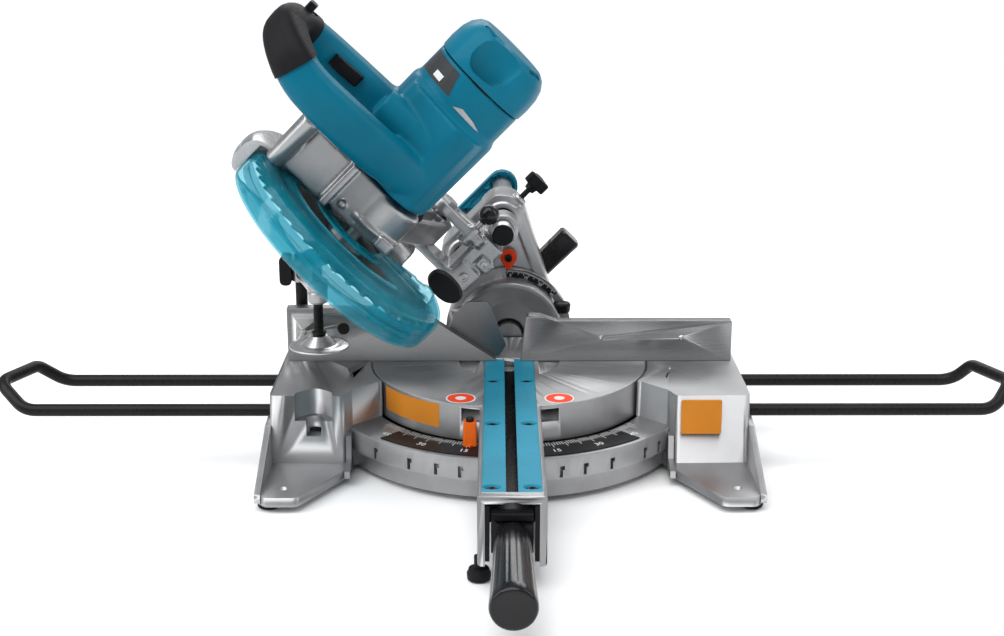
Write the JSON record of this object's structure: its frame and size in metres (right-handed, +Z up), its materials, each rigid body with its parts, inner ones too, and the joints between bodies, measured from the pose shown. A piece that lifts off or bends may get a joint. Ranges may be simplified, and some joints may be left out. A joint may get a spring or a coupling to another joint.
{
  "type": "sliding compound mitre saw",
  "caption": "Sliding compound mitre saw on its own feet, head tilted and raised, with turntable, fences, clear blade guard, clamp and pull-out extension bars.",
  "frame": {"origin": "middle of the bounding box at bench level; x = 0 is the plane of the cut at 0 degrees", "axes": "+Z up, +X to the operator's right, -Y towards the operator"},
  "size_m": [0.9898, 0.7627, 0.4525],
  "materials": {
    "cast": "sandblasted and clear coated die casting",
    "milled": "milled and brushed faces",
    "steel": "ground steel",
    "teal": "fine spark-eroded texture",
    "board": "satin moulded board",
    "black": "satin moulded plastic",
    "black_paint": "satin black paint on steel bar",
    "rubber": "matt soft grip and feet",
    "pointer": "bright red moulding",
    "clear_guard": "clear tinted polycarbonate",
    "copper": "laminated core with copper windings"
  },
  "bodies": {
    "base": {"base_casting": "cast", "left_fence": "milled", "right_fence": "milled", "mitre_scale": "black", "foot_front_left": "rubber", "foot_front_right": "rubber", "foot_rear_left": "rubber", "foot_rear_right": "rubber", "turntable_bolt": "steel"},
    "left_wing": {"wing_left": "black_paint"},
    "right_wing": {"wing_right": "black_paint"},
    "left_wing_lock": {"wing_lock_left": "black"},
    "right_wing_lock": {"wing_lock_right": "black"},
    "sub_fence": {"sub_fence": "milled"},
    "clamp_post": {"clamp_post": "steel"},
    "clamp": {"clamp_arm": "cast"},
    "clamp_lock": {"clamp_lock_screw": "black"},
    "clamp_foot": {"clamp_foot": "milled"},
    "clamp_screw": {"clamp_screw": "black"},
    "turntable": {"turntable": "cast", "kerf_board_left": "board", "kerf_board_right": "board", "bevel_scale": "black", "bevel_pin": "steel", "arm_support_foot": "rubber"},
    "mitre_grip": {"mitre_grip": "black"},
    "mitre_latch": {"mitre_latch": "black"},
    "bevel_arm": {"bevel_arm": "cast", "slide_bush_left": "black", "slide_bush_right": "black", "bevel_pointer": "pointer"},
    "bevel_lever": {"bevel_lever": "black"},
    "carriage": {"carriage": "cast", "slide_pole_left": "steel", "slide_pole_right": "steel", "pole_end_plate": "teal", "chop_pin": "steel", "return_spring": "steel"},
    "slide_lock": {"slide_lock_screw": "black"},
    "stopper_pin": {"stopper_pin": "black"},
    "head": {"gear_case": "cast", "blade_case": "cast", "motor_housing": "teal", "motor_end_cap": "teal", "motor_field": "steel", "handle_frame": "teal", "handle_grip": "rubber", "dust_nozzle": "rubber", "spindle_bearing": "steel", "motor_bearing": "steel"},
    "lower_guard": {"lower_guard": "clear_guard"},
    "blade_unit": {"saw_blade": "steel", "spindle_and_gear": "steel", "outer_flange": "steel", "blade_bolt": "black"},
    "armature": {"motor_armature": "copper", "cooling_fan": "black"},
    "trigger": {"trigger": "black"},
    "lock_off_button": {"lock_off_button": "black"}
  },
  "joints": [
    {"name": "wing_left_slide", "type": "slide", "parent": "base", "child": "left_wing", "axis": [1, 0, 0], "range_m": [0, 0.055]},
    {"name": "wing_right_slide", "type": "slide", "parent": "base", "child": "right_wing", "axis": [-1, 0, 0], "range_m": [0, 0.055]},
    {"name": "wing_lock_left_turn", "type": "hinge", "parent": "base", "child": "left_wing_lock", "pos_m": [-0.226, 0.0033, 0.03], "axis": [-1, 0, 0], "range_deg": [0, 180]},
    {"name": "wing_lock_right_turn", "type": "hinge", "parent": "base", "child": "right_wing_lock", "pos_m": [0.226, 0.0033, 0.03], "axis": [1, 0, 0], "range_deg": [0, 180]},
    {"name": "sub_fence_swing", "type": "hinge", "parent": "base", "child": "sub_fence", "pos_m": [-0.05, 0.0913, 0.096], "axis": [0, 1, 0], "range_deg": [-75, 0]},
    {"name": "clamp_post_lift", "type": "slide", "parent": "base", "child": "clamp_post", "axis": [0, 0, 1], "range_m": [0, 0.03]},
    {"name": "clamp_swing", "type": "hinge", "parent": "clamp_post", "child": "clamp", "pos_m": [-0.209, 0.1053, 0.082], "axis": [0, 0, 1], "range_deg": [-50, 5]},
    {"name": "clamp_lock_turn", "type": "hinge", "parent": "clamp", "child": "clamp_lock", "pos_m": [-0.209, 0.1053, 0.17], "axis": [-1, 0, 0], "range_deg": [0, 180]},
    {"name": "clamp_foot_lift", "type": "slide", "parent": "clamp", "child": "clamp_foot", "axis": [0, 0, -1], "range_m": [0, 0.014]},
    {"name": "clamp_screw_turn", "type": "hinge", "parent": "clamp_foot", "child": "clamp_screw", "pos_m": [-0.184, 0.0323, 0.082], "axis": [0, 0, -1], "range_deg": [0, 2520]},
    {"name": "mitre_swing", "type": "hinge", "parent": "base", "child": "turntable", "pos_m": [0, 0.0773, 0.082], "axis": [0, 0, 1], "range_deg": [-25, 45]},
    {"name": "mitre_grip_turn", "type": "hinge", "parent": "turntable", "child": "mitre_grip", "pos_m": [0, -0.2517, 0.051], "axis": [0, -0.9973, -0.0732], "range_deg": [0, 180]},
    {"name": "mitre_latch_press", "type": "hinge", "parent": "turntable", "child": "mitre_latch", "pos_m": [0, -0.2597, 0.034], "axis": [1, 0, 0], "range_deg": [0, 6], "stiffness_Nm_per_rad": 1, "springref_deg": -8.59},
    {"name": "bevel_tilt", "type": "hinge", "parent": "turntable", "child": "bevel_arm", "pos_m": [0, 0.0773, 0.082], "axis": [0, 1, 0], "range_deg": [0, 45]},
    {"name": "bevel_lever_turn", "type": "hinge", "parent": "bevel_arm", "child": "bevel_lever", "pos_m": [0, 0.2533, 0.082], "axis": [0, 1, 0], "range_deg": [0, 30]},
    {"name": "head_slide", "type": "slide", "parent": "bevel_arm", "child": "carriage", "axis": [0, -1, 0], "range_m": [0, 0.11]},
    {"name": "slide_lock_turn", "type": "hinge", "parent": "bevel_arm", "child": "slide_lock", "pos_m": [0.01167, 0.2173, 0.21741], "axis": [0.7071, 0, 0.7071], "range_deg": [0, 180]},
    {"name": "stopper_pull", "type": "slide", "parent": "carriage", "child": "stopper_pin", "axis": [0.7071, 0, 0.7071], "range_m": [0, 0.008]},
    {"name": "chop", "type": "hinge", "parent": "carriage", "child": "head", "pos_m": [-0.10465, 0.1393, 0.18665], "axis": [0.7071, 0, 0.7071], "range_deg": [0, 40], "stiffness_Nm_per_rad": 4, "springref_deg": -148.97},
    {"name": "guard_swing", "type": "hinge", "parent": "head", "child": "lower_guard", "pos_m": [-0.14991, -0.0267, 0.23191], "axis": [0.7071, 0, 0.7071], "range_deg": [-124, 0]},
    {"name": "blade_spin", "type": "hinge", "parent": "head", "child": "blade_unit", "pos_m": [-0.14991, -0.0267, 0.23191], "axis": [0.7071, 0, 0.7071], "continuous": true},
    {"name": "motor_spin", "type": "hinge", "parent": "head", "child": "armature", "pos_m": [-0.15839, -0.0007, 0.24039], "axis": [0.7071, 0, 0.7071], "continuous": true},
    {"name": "trigger_squeeze", "type": "hinge", "parent": "head", "child": "trigger", "pos_m": [-0.15486, -0.0462, 0.39949], "axis": [0.7071, 0, 0.7071], "range_deg": [0, 5], "stiffness_Nm_per_rad": 0.4, "springref_deg": -11.46},
    {"name": "lock_off_press", "type": "slide", "parent": "head", "child": "lock_off_button", "axis": [-0.7071, 0, -0.7071], "range_m": [0, 0.003], "stiffness_N_per_m": 300, "springref_m": -0.003}
  ],
  "couplings": [
    {"joint": "guard_swing", "follows": "chop", "ratio": -3.1},
    {"joint": "motor_spin", "follows": "blade_spin", "ratio": -4},
    {"joint": "clamp_screw_turn", "follows": "clamp_foot_lift", "rad_per_m": 3141.6}
  ]
}
